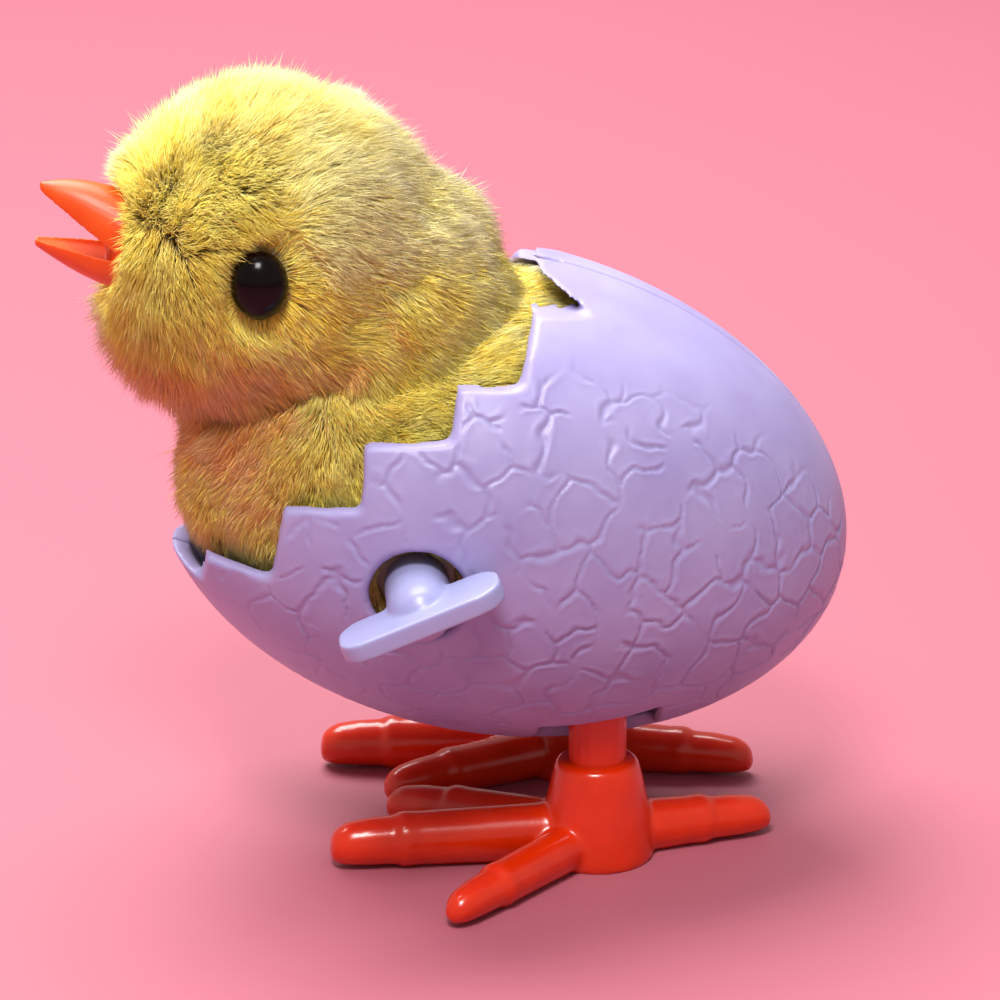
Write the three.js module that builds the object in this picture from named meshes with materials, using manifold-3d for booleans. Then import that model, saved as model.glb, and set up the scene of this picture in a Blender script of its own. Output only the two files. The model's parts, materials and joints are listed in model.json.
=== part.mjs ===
// A wind-up hopping chick in a cracked egg shell: a plush chick on a moulded core, a two-part shell,
// a spring motor with its winding key on the chick's left, and two legs with clawed feet that kick together.
// Units are millimetres, +Z is up, the chick faces -X and its left side is -Y.
// The toy is laid out from three references: x = 0 at the egg's centre, y = 0 on the middle plane and
// z = 0 on the ground. The last lines move it so that the origin is the centre of its box's base.
import * as THREE from "three";
import { mergeVertices } from "three/addons/utils/BufferGeometryUtils.js";
import Module from "manifold-3d";

const wasm = await Module();
wasm.setup();

// ---------- driving dimensions ----------

const EGG_HALF_LENGTH = 31.9;
const EGG_RADIUS = 22.05;
const EGG_TAPER = 0.041; // how much narrower than an ellipsoid the rear end is
const EGG_TILT = THREE.MathUtils.degToRad(14.4); // rear end down
const EGG_HEIGHT = 31.4; // the egg's centre above the ground
const SHELL_WALL = 1.3;
const SEAM = 0.1; // gap between two moulded halves
const FIT = 0.3; // gap between pieces that sit in each other
const BORE_FIT = 0.15; // radial gap of a shaft in its bore

const PLUSH_HALF_LENGTH = 29.7;
const PLUSH_RADIUS = 20.1;
const HEAD_X = -20.2;
const HEAD_Z = 22.9; // above the egg's centre
const HEAD_RADIUS = 15.3;
const PLUSH_THICKNESS = 2.6;
const CORE_WALL = 1.2;

const KEY_X = -8.5; // the winding shaft's place from the egg's centre
const KEY_Z = -2.2;
const KEY_HOLE_RADIUS = 4.2;
const KEY_ANGLE = THREE.MathUtils.degToRad(22); // the wings' slope at rest
const CRANK_X = 8;
const CRANK_Z = KEY_Z;
const LEG_PIVOT_X = 8;
const LEG_PIVOT_Z = -12;
const LEG_Y = 10.2; // middle of each leg from the middle plane
const SHAFT_RADIUS = 1;

const MODULE = 0.43; // gear module
const PRESSURE = THREE.MathUtils.degToRad(25);
const MAIN_TEETH = 30;
const PINION_TEETH = 10;
const IDLER_TEETH = 27;

const CASE_HALF_WIDTH = 6.2;
const CASE_WALL = 0.9;

// ---------- colours ----------

const paint = (color, roughness, metalness = 0) =>
  new THREE.MeshStandardMaterial({ color, roughness, metalness });
const LAVENDER = paint("#b9a6dc", 0.4);
const PLUSH = paint("#dcc45c", 0.95);
const ORANGE = paint("#e8480c", 0.3);
const BLACK = paint("#120b0e", 0.08);
const MILKY = paint("#e6e2d8", 0.5);
const CASE_GREY = paint("#c9ccd0", 0.5);
const GEAR_WHITE = paint("#efece4", 0.45);
const GEAR_AMBER = paint("#d9a441", 0.45);
const STEEL = paint("#b8bcc0", 0.3, 1);
const SPRING_STEEL = paint("#6d7f92", 0.25, 1);

// ---------- solids ----------

/** A closed three.js geometry as a manifold-3d solid. */
function solid(geometry) {
  const bare = geometry.index ? geometry.toNonIndexed() : geometry.clone();
  bare.deleteAttribute("normal");
  bare.deleteAttribute("uv");
  const merged = mergeVertices(bare, 1e-4);
  return new wasm.Manifold(
    new wasm.Mesh({
      numProp: 3,
      vertProperties: merged.attributes.position.array,
      triVerts: new Uint32Array(merged.index.array),
    }),
  );
}

/** A manifold-3d solid as a three.js geometry. */
function geometryOf(body) {
  const mesh = body.getMesh();
  const geometry = new THREE.BufferGeometry()
    .setAttribute("position", new THREE.BufferAttribute(mesh.vertProperties, 3))
    .setIndex(new THREE.BufferAttribute(mesh.triVerts, 1));
  geometry.computeVertexNormals();
  return geometry;
}

const join = (...bodies) => bodies.reduce((sum, body) => sum.add(body));
const cut = (body, ...tools) => tools.reduce((rest, tool) => rest.subtract(tool), body);

/** A box from its lowest to its highest corner. */
function box(low, high) {
  const size = high.map((value, axis) => value - low[axis]);
  const middle = high.map((value, axis) => (value + low[axis]) / 2);
  return solid(new THREE.BoxGeometry(...size).translate(...middle));
}

/** A round bar along Y about (x, z). */
function barY(radius, yLow, yHigh, x = 0, z = 0, sides = 20) {
  const bar = new THREE.CylinderGeometry(radius, radius, yHigh - yLow, sides);
  return solid(bar.translate(x, (yLow + yHigh) / 2, z));
}

/** A round bar or cone from one point to another. */
function barBetween(from, to, radiusFrom, radiusTo, sides = 16) {
  const start = new THREE.Vector3(...from);
  const along = new THREE.Vector3(...to).sub(start);
  const bar = new THREE.CylinderGeometry(radiusTo, radiusFrom, along.length(), sides);
  bar.translate(0, along.length() / 2, 0);
  const turn = new THREE.Quaternion().setFromUnitVectors(
    new THREE.Vector3(0, 1, 0),
    along.clone().normalize(),
  );
  return solid(bar.applyQuaternion(turn).translate(start.x, start.y, start.z));
}

function ball(radius, x, y, z, sides = 20) {
  return solid(new THREE.SphereGeometry(radius, sides, sides / 2).translate(x, y, z));
}

/** An outline in the X-Z plane, made solid from yLow to yHigh. */
function slab(outline, yLow, yHigh, curveSegments = 8) {
  const shape = outline instanceof THREE.Shape ? outline : new THREE.Shape(
    outline.map(([x, z]) => new THREE.Vector2(x, z)),
  );
  const depth = yHigh - yLow;
  const geometry = new THREE.ExtrudeGeometry(shape, { depth, bevelEnabled: false, curveSegments });
  return solid(geometry.rotateX(Math.PI / 2).translate(0, yHigh, 0));
}

/** A tilted egg about the egg's centre. */
function egg(halfLength, radius, sides, steps) {
  const profile = [];
  for (let i = 0; i <= steps; i += 1) {
    const angle = Math.PI * (1 - i / steps);
    const width = radius * Math.sin(angle) * (1 - EGG_TAPER * Math.cos(angle));
    const onAxis = i === 0 || i === steps;
    profile.push(new THREE.Vector2(onAxis ? 0 : width, halfLength * Math.cos(angle)));
  }
  const body = new THREE.LatheGeometry(profile, sides).rotateZ(-Math.PI / 2).rotateY(EGG_TILT);
  return solid(body);
}

/** The half of a body on one side of the middle plane: side is -1 for the left, 1 for the right. */
function half(body, side) {
  const reach = 60;
  const inner = (side * SEAM) / 2;
  const low = side < 0 ? -reach : inner;
  const high = side < 0 ? inner : reach;
  return body.intersect(box([-reach, low, -reach], [reach, high, reach]));
}

// ---------- the node tree ----------

const toy = new THREE.Group();

/** Groups hold the pieces laid out about the egg's centre, and those laid out from the ground. */
const aroundEgg = new THREE.Group();
aroundEgg.position.z = EGG_HEIGHT;
toy.add(aroundEgg);

function piece(name, body, material, parent = aroundEgg) {
  const mesh = new THREE.Mesh(geometryOf(body), material);
  mesh.name = name;
  parent.add(mesh);
  return mesh;
}

// ---------- egg shell ----------

// The cracked rim as the side view shows it, from the front valley to the rear one: valley, tooth, valley ...
const RIM = [
  [-27.0, -4.9],
  [-26.6, -1.5],
  [-21.0, -1.8],
  [-19.9, 5.0],
  [-13.3, 5.5],
  [-13.0, 10.8],
  [-5.6, 11.2],
  [-4.9, 15.1],
  [0.5, 14.9],
  [2.2, 19.5],
  [7.6, 18.8],
];
const FRONT_TOOTH = [-33.0, -2.2]; // the middle teeth's slopes run on to these points, past the shell
const REAR_TOOTH = [2.3, 22.0];
const LEG_SLOT_HALF_X = 5.2;
const LEG_SLOT_HALF_Y = 3.1;

function shellBody() {
  const outer = egg(EGG_HALF_LENGTH, EGG_RADIUS, 36, 20);
  const inner = egg(EGG_HALF_LENGTH - SHELL_WALL, EGG_RADIUS - SHELL_WALL, 28, 16);
  const opening = slab([FRONT_TOOTH, ...RIM, REAR_TOOTH, [2.1, 60], [-60, 60], [-60, 0]], -40, 40);
  const keyHole = barY(KEY_HOLE_RADIUS, -30, -10, KEY_X, KEY_Z, 20);
  const legSlots = [-LEG_Y, LEG_Y].map((y) =>
    box(
      [LEG_PIVOT_X - LEG_SLOT_HALF_X, y - LEG_SLOT_HALF_Y, -30],
      [LEG_PIVOT_X + LEG_SLOT_HALF_X, y + LEG_SLOT_HALF_Y, -14],
    ),
  );
  return cut(outer, inner, opening, keyHole, ...legSlots);
}
const shell = shellBody();
piece("egg_shell_left", half(shell, -1), LAVENDER);
piece("egg_shell_right", half(shell, 1), LAVENDER);

// ---------- eyes and beak ----------

const EYE = { x: -1.4, z: 1.0, out: 13.4, halfWidth: 2.5, halfHeight: 3.05, halfDepth: 2.1, stem: 1 };

/** An oval bead with a flat back and a stem into the head: side is -1 for the left eye. */
function eyeBody(side, grow = 0) {
  const bead = new THREE.SphereGeometry(1, 14, 8);
  bead.scale(EYE.halfWidth + grow, EYE.halfDepth + grow, EYE.halfHeight + grow);
  bead.translate(HEAD_X + EYE.x, side * EYE.out, HEAD_Z + EYE.z);
  const ends = [side * (EYE.out - 4.6), side * EYE.out].sort((a, b) => a - b);
  const stem = barY(EYE.stem + grow, ends[0], ends[1], HEAD_X + EYE.x, HEAD_Z + EYE.z, 8);
  return join(solid(bead), stem);
}

const BEAK_Z = HEAD_Z + 1.1;
const BEAK_ROOT_X = HEAD_X - HEAD_RADIUS + 1.2;
const BEAK_ROOT_RADIUS = 4.6;

/** One mandible: a flattened cone from its root to its tip. */
function mandible(rootZ, tipX, tipZ, halfWidth, halfHeight) {
  const length = BEAK_ROOT_X - tipX;
  const cone = new THREE.CylinderGeometry(0.14, 1, length, 16, 3);
  cone.rotateZ(Math.PI / 2).scale(1, halfWidth, halfHeight);
  cone.translate(-length / 2, 0, 0);
  const rise = (tipZ - rootZ) / length;
  const slope = new THREE.Matrix4().set(1, 0, 0, BEAK_ROOT_X, 0, 1, 0, 0, -rise, 0, 1, rootZ, 0, 0, 0, 1);
  return solid(cone.applyMatrix4(slope));
}

function beakBody() {
  const upper = mandible(BEAK_Z + 1.6, HEAD_X - 20.3, HEAD_Z + 6.2, 3.5, 2.8);
  const lower = mandible(BEAK_Z - 2.3, HEAD_X - 20.9, HEAD_Z + 1.0, 3.1, 2.1);
  const flange = barBetween(
    [BEAK_ROOT_X - 0.4, 0, BEAK_Z],
    [BEAK_ROOT_X + 1, 0, BEAK_Z],
    BEAK_ROOT_RADIUS,
    BEAK_ROOT_RADIUS,
    20,
  );
  const peg = barBetween([BEAK_ROOT_X, 0, BEAK_Z], [BEAK_ROOT_X + 5, 0, BEAK_Z], 1.5, 1.5, 12);
  return join(upper, lower, flange, peg);
}

piece("beak", beakBody(), ORANGE);
piece("eye_left", eyeBody(-1), BLACK);
piece("eye_right", eyeBody(1), BLACK);

// ---------- plush cover and moulded core ----------

/** The chick's head and body as one form, drawn in from the fur's surface by inset. */
function chickForm(inset, sides, steps) {
  const body = egg(PLUSH_HALF_LENGTH - inset, PLUSH_RADIUS - inset, sides, steps);
  return join(body, ball(HEAD_RADIUS - inset, HEAD_X, 0, HEAD_Z, sides));
}

/** Tools that cut the ways through the plush and the core. */
function waysThrough({ key, eye, beak, legX, legY }) {
  const headX = HEAD_X - 30;
  return [
    barY(key, -30, -8, KEY_X, KEY_Z, 16),
    barBetween([headX, 0, BEAK_Z], [HEAD_X - 6, 0, BEAK_Z], beak, beak, 20),
    barY(eye, -30, 30, HEAD_X + EYE.x, HEAD_Z + EYE.z, 12),
    box([LEG_PIVOT_X - legX, -legY, -30], [LEG_PIVOT_X + legX, legY, -8]),
  ];
}

function plushBody() {
  const skin = cut(chickForm(0, 22, 12), chickForm(PLUSH_THICKNESS, 18, 10));
  const ways = waysThrough({ key: 3.6, eye: 1.4, beak: BEAK_ROOT_RADIUS + FIT, legX: 8, legY: 13.6 });
  return cut(skin, ...ways, eyeBody(-1, FIT), eyeBody(1, FIT));
}

function coreBody() {
  const inset = PLUSH_THICKNESS + FIT;
  const wall = cut(chickForm(inset, 18, 10), chickForm(inset + CORE_WALL, 16, 10));
  const ways = waysThrough({ key: 1.6, eye: 1.2, beak: 1.8, legX: 7.5, legY: 13.3 });
  return cut(wall, ...ways, eyeBody(-1, FIT), eyeBody(1, FIT));
}

const MOTOR_POSTS = [
  [-13.5, 1.5],
  [-9.5, -8.2],
  [0.5, 4.5],
];
const POST_RADIUS = 1.3;

/** The core's posts that grip the motor, from its side to just inside the core's wall. */
function postsBody(side) {
  const near = side * (CASE_HALF_WIDTH + FIT);
  const far = side * 15.5;
  const posts = MOTOR_POSTS.map(([x, z]) =>
    barY(POST_RADIUS, Math.min(near, far), Math.max(near, far), x, z, 10),
  );
  return join(...posts).intersect(chickForm(PLUSH_THICKNESS + FIT + CORE_WALL / 2, 16, 10));
}

piece("plush_cover", plushBody(), PLUSH);
const core = coreBody();
for (const [name, side] of [["left", -1], ["right", 1]]) {
  piece(`body_core_${name}`, join(half(core, side), postsBody(side)), MILKY);
}

// ---------- spring motor ----------

/** An involute gear's outline with short teeth, one tooth centred on the X axis. */
function gearOutline(teeth) {
  const pitch = (MODULE * teeth) / 2;
  const base = pitch * Math.cos(PRESSURE);
  const tip = pitch + 0.8 * MODULE;
  const root = pitch - 1.1 * MODULE;
  const backlash = 0.09 / pitch; // angle taken off each side of a tooth
  const involute = (radius) => {
    const slope = Math.acos(Math.min(1, base / radius));
    return Math.tan(slope) - slope;
  };
  const halfTooth = Math.PI / (2 * teeth) - backlash + involute(pitch);
  const flank = [root, pitch, tip].map((radius) => [
    radius,
    halfTooth - involute(Math.max(radius, base)),
  ]);
  const points = [];
  for (let tooth = 0; tooth < teeth; tooth += 1) {
    const middle = (tooth * 2 * Math.PI) / teeth;
    const rising = flank.map(([radius, angle]) => [radius, middle - angle]);
    const falling = [...flank].reverse().map(([radius, angle]) => [radius, middle + angle]);
    for (const [radius, angle] of [...rising, ...falling]) {
      points.push([radius * Math.cos(angle), radius * Math.sin(angle)]);
    }
  }
  return points;
}

/** A gear about its own Y axis, with a bore if it turns on a separate shaft. */
function gearBody(teeth, yLow, yHigh, bore = 0) {
  const wheel = slab(gearOutline(teeth), yLow, yHigh);
  return bore ? cut(wheel, barY(bore, yLow - 1, yHigh + 1, 0, 0, 12)) : wheel;
}

const pitchRadius = (teeth) => (MODULE * teeth) / 2;
const MAIN_TO_IDLER = pitchRadius(MAIN_TEETH) + pitchRadius(PINION_TEETH);
const IDLER_TO_CRANK = pitchRadius(IDLER_TEETH) + pitchRadius(PINION_TEETH);
const SHAFT_SPAN = CRANK_X - KEY_X;
const IDLER_DX = (MAIN_TO_IDLER ** 2 - IDLER_TO_CRANK ** 2 + SHAFT_SPAN ** 2) / (2 * SHAFT_SPAN);
const IDLER_DZ = Math.sqrt(MAIN_TO_IDLER ** 2 - IDLER_DX ** 2);
const IDLER_X = KEY_X + IDLER_DX;
const IDLER_Z = KEY_Z + IDLER_DZ;
const TO_IDLER = Math.atan2(IDLER_DZ, IDLER_DX); // direction from the main gear to the idler
const TO_CRANK = Math.atan2(CRANK_Z - IDLER_Z, CRANK_X - IDLER_X);

/** Turns a piece built about its own Y axis by an angle seen from the left, and puts it on its shaft. */
function onShaft(mesh, x, z, angle = 0) {
  mesh.position.set(x, 0, z);
  mesh.rotation.y = -angle;
  return mesh;
}
const gapTowards = (direction, teeth) => direction + Math.PI + Math.PI / teeth;

const GEAR_LAYERS = { main: [-4.5, -3.2], idler: [-2.6, -1.2] };
const BORE = SHAFT_RADIUS + BORE_FIT;

function mainGearBody() {
  const wheel = gearBody(MAIN_TEETH, ...GEAR_LAYERS.main);
  const hub = barY(2.2, -4.9, -1.0, 0, 0, 20);
  return cut(join(wheel, hub), barY(BORE, -6, 0, 0, 0, 16));
}

function idlerBody() {
  const pinion = gearBody(PINION_TEETH, -4.7, GEAR_LAYERS.idler[0] + 0.1);
  const onWheel = new THREE.Matrix4().makeRotationY(-(TO_CRANK - gapTowards(TO_IDLER, PINION_TEETH)));
  const wheel = solid(geometryOf(gearBody(IDLER_TEETH, ...GEAR_LAYERS.idler)).applyMatrix4(onWheel));
  return cut(join(pinion, wheel), barY(0.6 + BORE_FIT, -6, 0, 0, 0, 10));
}

onShaft(piece("main_gear", mainGearBody(), GEAR_AMBER), KEY_X, KEY_Z, TO_IDLER);
onShaft(
  piece("idler_gear", idlerBody(), GEAR_WHITE),
  IDLER_X,
  IDLER_Z,
  gapTowards(TO_IDLER, PINION_TEETH),
);
onShaft(piece("idler_pin", barY(0.6, -5.7, -0.3, 0, 0, 10), STEEL), IDLER_X, IDLER_Z);
onShaft(
  piece("crank_pinion", gearBody(PINION_TEETH, -2.8, -1.0, BORE), GEAR_WHITE),
  CRANK_X,
  CRANK_Z,
  gapTowards(TO_CRANK, PINION_TEETH),
);
onShaft(piece("crank_shaft", barY(SHAFT_RADIUS, -8.2, 8.2, 0, 0, 12), STEEL), CRANK_X, CRANK_Z);

const CRANK_RADIUS = 1.25;
const CRANK_PIN_RADIUS = 0.7;
const DISC_RADIUS = 2.6;
const DISC_FACE = 8.6; // the outer face of each disc from the middle plane
const PIN_END = 12.1;

/** A crank disc with its pin, which drives the fork of the leg on that side. */
function crankBody(side) {
  const span = (from, to) => [Math.min(side * from, side * to), Math.max(side * from, side * to)];
  const disc = cut(
    barY(DISC_RADIUS, ...span(CASE_HALF_WIDTH + FIT, DISC_FACE), 0, 0, 18),
    barY(BORE, ...span(CASE_HALF_WIDTH, DISC_FACE - 0.3), 0, 0, 12),
  );
  return join(disc, barY(CRANK_PIN_RADIUS, ...span(DISC_FACE - 0.1, PIN_END), 0, CRANK_RADIUS, 10));
}
for (const [name, side] of [["left", -1], ["right", 1]]) {
  onShaft(piece(`crank_${name}`, crankBody(side), GEAR_WHITE), CRANK_X, CRANK_Z);
}

// The case's side view: a round end about the winding shaft, and a foot that carries the leg axle.
function caseOutline(inset) {
  const outline = new THREE.Shape();
  const round = 8.6 - inset;
  const foot = 3 - inset;
  const top = KEY_Z + round;
  const bottom = KEY_Z - round;
  const rearRound = 4.4 - inset;
  outline.moveTo(KEY_X, top);
  outline.absarc(KEY_X, KEY_Z, round, Math.PI / 2, (3 * Math.PI) / 2, false);
  outline.lineTo(LEG_PIVOT_X - foot, bottom);
  if (inset === 0) {
    outline.absarc(LEG_PIVOT_X, LEG_PIVOT_Z, foot, Math.PI, 2 * Math.PI, false);
  } else {
    outline.lineTo(LEG_PIVOT_X + foot, bottom);
  }
  outline.lineTo(CRANK_X + rearRound, CRANK_Z);
  outline.lineTo(CRANK_X + rearRound, top - rearRound);
  outline.absarc(CRANK_X, top - rearRound, rearRound, 0, Math.PI / 2, false);
  outline.closePath();
  return outline;
}

const SCREW_PLACES = [
  [-4.2, 4.9],
  [-2.5, -9],
  [10.2, 3],
];
const SCREW_RADIUS = 0.6;
const MIDDLE_PLATE = [-0.6, 0.2];

/** Half of the motor case: a wall with a rim, bored for the shafts, with a boss for each screw. */
function caseBody(side) {
  const span = (from, to) => [Math.min(side * from, side * to), Math.max(side * from, side * to)];
  const block = slab(caseOutline(0), ...span(SEAM / 2, CASE_HALF_WIDTH), 8);
  const inside = slab(caseOutline(CASE_WALL), ...span(-1, CASE_HALF_WIDTH - CASE_WALL), 8);
  const bosses = SCREW_PLACES.map(([x, z]) =>
    barY(1.3, ...span(1.2, CASE_HALF_WIDTH - CASE_WALL / 2), x, z, 10),
  );
  const screwHoles = SCREW_PLACES.map(([x, z]) => barY(SCREW_RADIUS + BORE_FIT, -6.5, 4.6, x, z, 8));
  return cut(
    join(cut(block, inside), ...bosses),
    barY(BORE, -9, 5.9, KEY_X, KEY_Z, 12),
    barY(BORE, -9, 9, CRANK_X, CRANK_Z, 12),
    barY(BORE, -9, 9, LEG_PIVOT_X, LEG_PIVOT_Z, 12),
    barY(0.6 + BORE_FIT, -5.8, 0, IDLER_X, IDLER_Z, 10),
    ...screwHoles,
  );
}
piece("motor_case_left", caseBody(-1), CASE_GREY);
piece("motor_case_right", caseBody(1), CASE_GREY);

/** The plate between the gears and the mainspring. */
function middlePlateBody() {
  const plate = slab(caseOutline(CASE_WALL + FIT), ...MIDDLE_PLATE, 8);
  const holes = SCREW_PLACES.map(([x, z]) => barY(SCREW_RADIUS + BORE_FIT, -2, 2, x, z, 8));
  return cut(
    plate,
    barY(BORE, -2, 2, KEY_X, KEY_Z, 12),
    barY(BORE, -2, 2, CRANK_X, CRANK_Z, 12),
    barY(0.6 + BORE_FIT, -0.7, -0.25, IDLER_X, IDLER_Z, 10),
    ...holes,
  );
}
piece("middle_plate", middlePlateBody(), STEEL);

/** A self-tapping screw with a round head, from the left. */
function screwBody() {
  const shank = barY(SCREW_RADIUS, -CASE_HALF_WIDTH - 0.5, 4.3, 0, 0, 8);
  return join(shank, barY(1.15, -CASE_HALF_WIDTH - 0.95, -CASE_HALF_WIDTH - 0.2, 0, 0, 10));
}
SCREW_PLACES.forEach(([x, z], i) => {
  onShaft(piece(`case_screw_${i + 1}`, screwBody(), STEEL), x, z);
});

/** The mainspring: one flat strip wound outwards from the winding shaft. */
function mainspringBody() {
  const turns = 5;
  const stepsPerTurn = 14;
  const inner = 1.45;
  const outer = 6.1;
  const strip = 0.3;
  const points = (offset) =>
    Array.from({ length: turns * stepsPerTurn + 1 }, (_, i) => {
      const angle = (i * 2 * Math.PI) / stepsPerTurn;
      const radius = inner + ((outer - inner) * i) / (turns * stepsPerTurn) + offset;
      return [radius * Math.cos(angle), radius * Math.sin(angle)];
    });
  return slab([...points(0), ...points(strip).reverse()], 0.6, 4.6);
}
onShaft(piece("mainspring", mainspringBody(), SPRING_STEEL), KEY_X, KEY_Z);

// ---------- winding shaft and key ----------

const KEY_TIP_Y = -28.4;
const KEY_WING_Y = -22.7;
const HUB_START_Y = -17.3;
const HUB_RADIUS = 2.9;

onShaft(piece("winding_shaft", barY(SHAFT_RADIUS, -25.4, 5.6, 0, 0, 12), STEEL), KEY_X, KEY_Z);

/** The key: a domed hub with two flat wings. */
function keyBody() {
  const hub = barY(HUB_RADIUS, KEY_TIP_Y + 3.2, HUB_START_Y, 0, 0, 20);
  const dome = new THREE.SphereGeometry(HUB_RADIUS, 20, 10).scale(1, 0.75, 1);
  const wing = new THREE.Shape();
  const halfSpan = 7.4;
  const corner = 1.9;
  wing.moveTo(-halfSpan + corner, KEY_TIP_Y);
  wing.lineTo(halfSpan - corner, KEY_TIP_Y);
  wing.absarc(halfSpan - corner, KEY_TIP_Y + corner, corner, -Math.PI / 2, 0, false);
  wing.lineTo(halfSpan, KEY_WING_Y - corner);
  wing.absarc(halfSpan - corner, KEY_WING_Y - corner, corner, 0, Math.PI / 2, false);
  wing.lineTo(-halfSpan + corner, KEY_WING_Y);
  wing.absarc(-halfSpan + corner, KEY_WING_Y - corner, corner, Math.PI / 2, Math.PI, false);
  wing.lineTo(-halfSpan, KEY_TIP_Y + corner);
  wing.absarc(-halfSpan + corner, KEY_TIP_Y + corner, corner, Math.PI, 1.5 * Math.PI, false);
  const thickness = 1.8;
  const wings = new THREE.ExtrudeGeometry(wing, {
    depth: thickness,
    bevelEnabled: false,
    curveSegments: 5,
  }).translate(0, 0, -thickness / 2);
  return cut(
    join(hub, solid(dome.translate(0, KEY_TIP_Y + 3.2, 0)), solid(wings)),
    barY(BORE, -25.7, -10, 0, 0, 12),
  );
}
onShaft(piece("winding_key", keyBody(), LAVENDER), KEY_X, KEY_Z, KEY_ANGLE);

// ---------- legs and feet ----------

const LEG_RADIUS = 2.6;
const LEG_HALF_THICKNESS = 1.3;
const LEG_ROD_TOP = LEG_PIVOT_Z - 3.6;
const LEG_FOOT_Z = -27; // the end of the leg, inside the foot's socket
const FORK_TOP = 0.3;
const FORK_FLOOR = CRANK_Z - 3.2;
const FORK_GAP = 3.4; // half the fork's mouth: the pin's circle, the leg's swing and a little clearance
const PRONG = 1.6;

/** A leg: a round rod into the foot, and a plate with a bearing for the leg axle and a fork round the pin. */
function legBody(side) {
  const wide = FORK_GAP + PRONG;
  const plateEnd = LEG_ROD_TOP - 2;
  const outline = [
    [-LEG_RADIUS, plateEnd],
    [LEG_RADIUS, plateEnd],
    [LEG_RADIUS, LEG_PIVOT_Z - 3],
    [wide, LEG_PIVOT_Z + 3],
    [wide, FORK_TOP],
    [FORK_GAP, FORK_TOP],
    [FORK_GAP, FORK_FLOOR],
    [-FORK_GAP, FORK_FLOOR],
    [-FORK_GAP, FORK_TOP],
    [-wide, FORK_TOP],
    [-wide, LEG_PIVOT_Z + 3],
    [-LEG_RADIUS, LEG_PIVOT_Z - 3],
  ];
  const middle = side * LEG_Y;
  const plate = slab(outline, middle - LEG_HALF_THICKNESS, middle + LEG_HALF_THICKNESS);
  const rod = barBetween([0, middle, LEG_FOOT_Z], [0, middle, LEG_ROD_TOP], LEG_RADIUS, LEG_RADIUS, 18);
  return cut(join(plate, rod), barY(BORE, -20, 20, 0, LEG_PIVOT_Z, 12));
}

const legs = new THREE.Group();
legs.position.x = LEG_PIVOT_X;
aroundEgg.add(legs);
const feet = new THREE.Group(); // laid out from the ground
feet.position.x = LEG_PIVOT_X;
toy.add(feet);

const FOOT_HEIGHT = 9.3;
const ANKLE_RADIUS = 3.95;
const HEEL_RADIUS = 5.1;
const TOE_HEIGHT = 1.75; // the toes' axes above the ground
// Each toe's direction outwards from straight ahead, and its reach from the heel's centre.
const TOES = [
  { turn: 48, reach: 21.2, root: 1.9, tip: 1.6 },
  { turn: 3.5, reach: 24.2, root: 2.3, tip: 1.9 },
  { turn: -25, reach: 20.4, root: 2.1, tip: 1.7 },
  { turn: 193, reach: 16.6, root: 2.3, tip: 1.7 },
];
const CLAW = 6.2; // the claw's share of a toe's reach

function toeBody(side, { turn, reach, root, tip }) {
  const angle = THREE.MathUtils.degToRad(turn);
  const at = (distance, height) => [
    -Math.cos(angle) * distance,
    side * (LEG_Y + Math.sin(angle) * distance),
    height,
  ];
  const knuckle = reach - CLAW;
  const shaft = barBetween(at(0, TOE_HEIGHT), at(knuckle, TOE_HEIGHT), root + 0.3, tip + 0.15, 8);
  const clawEnd = at(reach - 0.9, TOE_HEIGHT - 0.75);
  const claw = barBetween(at(knuckle - 1, TOE_HEIGHT), clawEnd, tip - 0.1, 0.85, 8);
  return join(shaft, claw, ball(0.9, ...clawEnd, 6));
}

/** A foot: a round heel block with a socket for the leg, three toes ahead and one behind. */
function footBody(side) {
  const y = side * LEG_Y;
  const heel = barBetween([0, y, 0], [0, y, FOOT_HEIGHT], HEEL_RADIUS, ANKLE_RADIUS, 20);
  const floor = EGG_HEIGHT + LEG_FOOT_Z - FIT;
  const socket = barBetween([0, y, floor], [0, y, FOOT_HEIGHT + 1], LEG_RADIUS + FIT, LEG_RADIUS + FIT, 18);
  const toes = TOES.map((toe) => toeBody(side, toe));
  const underGround = box([-40, -40, -10], [40, 40, 0]);
  return cut(join(heel, ...toes), socket, underGround);
}

for (const [name, side] of [["left", -1], ["right", 1]]) {
  piece(`leg_${name}`, legBody(side), ORANGE, legs);
  piece(`foot_${name}`, footBody(side), ORANGE, feet);
}
onShaft(
  piece("leg_axle", barY(SHAFT_RADIUS, -12.1, 12.1, 0, 0, 12), STEEL),
  LEG_PIVOT_X,
  LEG_PIVOT_Z,
);

// ---------- the part's own frame ----------

toy.updateMatrixWorld(true);
const bounds = new THREE.Box3().setFromObject(toy, true);
const centre = bounds.getCenter(new THREE.Vector3());
toy.position.set(-centre.x, -centre.y, -bounds.min.z);

const part = new THREE.Group();
part.add(toy);

export default part;
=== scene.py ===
"""A wind-up hopping chick in a cracked egg shell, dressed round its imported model.

Shapes are worked out in millimetres in the toy's own layout: x = 0 at the egg's centre, y = 0 on the
middle plane, z = 0 on the ground, the chick facing -X with its left side at -Y. `finished` moves them into
the frame.
"""
import json
from math import cos, hypot, pi, radians, sin

import bmesh
import bpy
import numpy as np
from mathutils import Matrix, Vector, kdtree


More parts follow.
